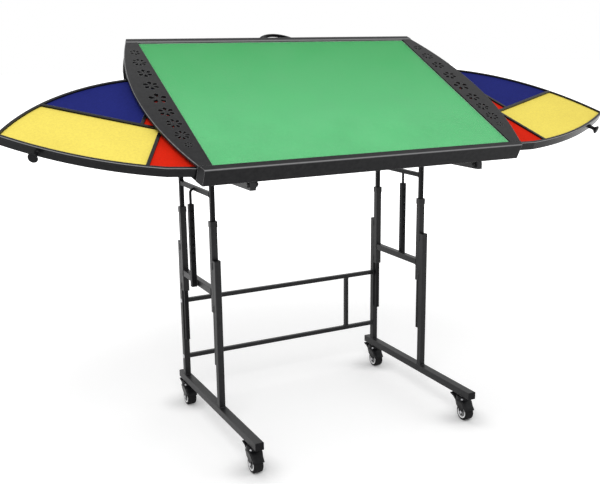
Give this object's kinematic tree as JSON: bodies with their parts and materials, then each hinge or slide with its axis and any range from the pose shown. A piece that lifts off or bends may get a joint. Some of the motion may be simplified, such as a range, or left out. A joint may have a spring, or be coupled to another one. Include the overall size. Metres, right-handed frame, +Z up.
{
  "type": "jigsaw puzzle table",
  "caption": "Tilting work board with swing-out sorting drawers on a height-adjustable steel stand with braked casters.",
  "frame": {"origin": "floor level, under the middle of the open table", "axes": "+X to the sitter's right, +Y from the sitter towards the raised back edge, +Z up"},
  "size_m": [1.8639, 0.6424, 1.1597],
  "materials": {
    "black_steel": "satin powder coat",
    "zinc": "satin",
    "black_plastic": "matt",
    "tyre_rubber": "matt",
    "white_hub": "gloss",
    "black_board": "painted fibreboard, satin",
    "green_felt": "felt",
    "yellow_felt": "felt",
    "blue_felt": "felt",
    "red_felt": "felt",
    "clear_sheet": "clear, polished"
  },
  "bodies": {
    "base_frame": {"foot_tube_left": "black_steel", "foot_tube_right": "black_steel", "tube_end_caps": "black_plastic", "outer_posts": "black_steel", "sleeve_posts_left": "black_steel", "sleeve_posts_right": "black_steel", "sleeve_collars": "black_plastic", "sleeve_crossbars": "black_steel", "lower_rail": "black_steel", "upper_rail": "black_steel", "rail_uprights": "black_steel", "rail_bolts": "zinc", "strut_tubes": "black_steel", "caster_stems": "zinc"},
    "lift_frame": {"lift_posts_left": "black_steel", "lift_posts_right": "black_steel", "lift_crossbars": "black_steel", "top_bars": "black_steel", "strut_rods": "black_steel", "tilt_bolts": "black_steel"},
    "clamp_knob_left": {"clamp_knob_left": "black_plastic"},
    "clamp_knob_right": {"clamp_knob_right": "black_plastic"},
    "board": {"bottom_panel": "black_board", "work_panel": "black_board", "felt_top": "green_felt", "front_rail": "black_board", "back_rail": "black_board", "side_panel_left": "black_board", "side_panel_right": "black_board", "inner_ribs": "black_board", "tilt_brackets": "black_steel", "carry_handle": "black_plastic", "drawer_pivots": "zinc"},
    "drawer_left": {"drawer_tray_left": "black_plastic", "drawer_pull_left": "black_plastic", "yellow_felt_left": "yellow_felt", "blue_felt_left": "blue_felt", "red_felt_left": "red_felt"},
    "drawer_right": {"drawer_tray_right": "black_plastic", "drawer_pull_right": "black_plastic", "yellow_felt_right": "yellow_felt", "blue_felt_right": "blue_felt", "red_felt_right": "red_felt"},
    "cover": {"cover_sheet": "clear_sheet"},
    "swivel_front_left": {"caster_fork_front_left": "black_steel"},
    "wheel_front_left": {"caster_tyre_front_left": "tyre_rubber", "caster_hub_front_left": "white_hub"},
    "pedal_front_left": {"brake_pedal_front_left": "black_plastic"},
    "swivel_front_right": {"caster_fork_front_right": "black_steel"},
    "wheel_front_right": {"caster_tyre_front_right": "tyre_rubber", "caster_hub_front_right": "white_hub"},
    "pedal_front_right": {"brake_pedal_front_right": "black_plastic"},
    "swivel_back_left": {"caster_fork_back_left": "black_steel"},
    "wheel_back_left": {"caster_tyre_back_left": "tyre_rubber", "caster_hub_back_left": "white_hub"},
    "pedal_back_left": {"brake_pedal_back_left": "black_plastic"},
    "swivel_back_right": {"caster_fork_back_right": "black_steel"},
    "wheel_back_right": {"caster_tyre_back_right": "tyre_rubber", "caster_hub_back_right": "white_hub"},
    "pedal_back_right": {"brake_pedal_back_right": "black_plastic"}
  },
  "joints": [
    {"name": "height_slide", "type": "slide", "parent": "base_frame", "child": "lift_frame", "axis": [0, 0, 1], "range_m": [-0.025, 0.175]},
    {"name": "board_tilt", "type": "hinge", "parent": "lift_frame", "child": "board", "pos_m": [0, -0.286, 0.7905], "axis": [1, 0, 0], "range_deg": [-27, 0]},
    {"name": "clamp_knob_left_turn", "type": "hinge", "parent": "lift_frame", "child": "clamp_knob_left", "pos_m": [-0.372, -0.086, 0.7905], "axis": [-1, 0, 0], "range_deg": [-330, 0]},
    {"name": "clamp_knob_right_turn", "type": "hinge", "parent": "lift_frame", "child": "clamp_knob_right", "pos_m": [0.372, -0.086, 0.7905], "axis": [1, 0, 0], "range_deg": [-330, 0]},
    {"name": "drawer_left_swing", "type": "hinge", "parent": "board", "child": "drawer_left", "pos_m": [-0.466, -0.26255, 0.84139], "axis": [0, -0.454, 0.891], "range_deg": [-62, 14]},
    {"name": "drawer_right_swing", "type": "hinge", "parent": "board", "child": "drawer_right", "pos_m": [0.466, -0.26255, 0.84139], "axis": [0, -0.454, 0.891], "range_deg": [-5.5, 70.5]},
    {"name": "cover_lift_off", "type": "slide", "parent": "board", "child": "cover", "axis": [0, -0.454, 0.891], "range_m": [0, 0.12]},
    {"name": "swivel_front_left", "type": "hinge", "parent": "base_frame", "child": "swivel_front_left", "pos_m": [-0.352, -0.258, 0.07], "axis": [0, 0, 1], "continuous": true},
    {"name": "roll_front_left", "type": "hinge", "parent": "swivel_front_left", "child": "wheel_front_left", "pos_m": [-0.352, -0.272, 0.025], "axis": [1, 0, 0], "continuous": true},
    {"name": "brake_front_left", "type": "hinge", "parent": "swivel_front_left", "child": "pedal_front_left", "pos_m": [-0.352, -0.246, 0.054], "axis": [1, 0, 0], "range_deg": [-10, 0]},
    {"name": "swivel_front_right", "type": "hinge", "parent": "base_frame", "child": "swivel_front_right", "pos_m": [0.352, -0.258, 0.07], "axis": [0, 0, 1], "continuous": true},
    {"name": "roll_front_right", "type": "hinge", "parent": "swivel_front_right", "child": "wheel_front_right", "pos_m": [0.352, -0.272, 0.025], "axis": [1, 0, 0], "continuous": true},
    {"name": "brake_front_right", "type": "hinge", "parent": "swivel_front_right", "child": "pedal_front_right", "pos_m": [0.352, -0.246, 0.054], "axis": [1, 0, 0], "range_deg": [-10, 0]},
    {"name": "swivel_back_left", "type": "hinge", "parent": "base_frame", "child": "swivel_back_left", "pos_m": [-0.352, 0.258, 0.07], "axis": [0, 0, 1], "continuous": true},
    {"name": "roll_back_left", "type": "hinge", "parent": "swivel_back_left", "child": "wheel_back_left", "pos_m": [-0.352, 0.244, 0.025], "axis": [1, 0, 0], "continuous": true},
    {"name": "brake_back_left", "type": "hinge", "parent": "swivel_back_left", "child": "pedal_back_left", "pos_m": [-0.352, 0.27, 0.054], "axis": [1, 0, 0], "range_deg": [-10, 0]},
    {"name": "swivel_back_right", "type": "hinge", "parent": "base_frame", "child": "swivel_back_right", "pos_m": [0.352, 0.258, 0.07], "axis": [0, 0, 1], "continuous": true},
    {"name": "roll_back_right", "type": "hinge", "parent": "swivel_back_right", "child": "wheel_back_right", "pos_m": [0.352, 0.244, 0.025], "axis": [1, 0, 0], "continuous": true},
    {"name": "brake_back_right", "type": "hinge", "parent": "swivel_back_right", "child": "pedal_back_right", "pos_m": [0.352, 0.27, 0.054], "axis": [1, 0, 0], "range_deg": [-10, 0]}
  ]
}
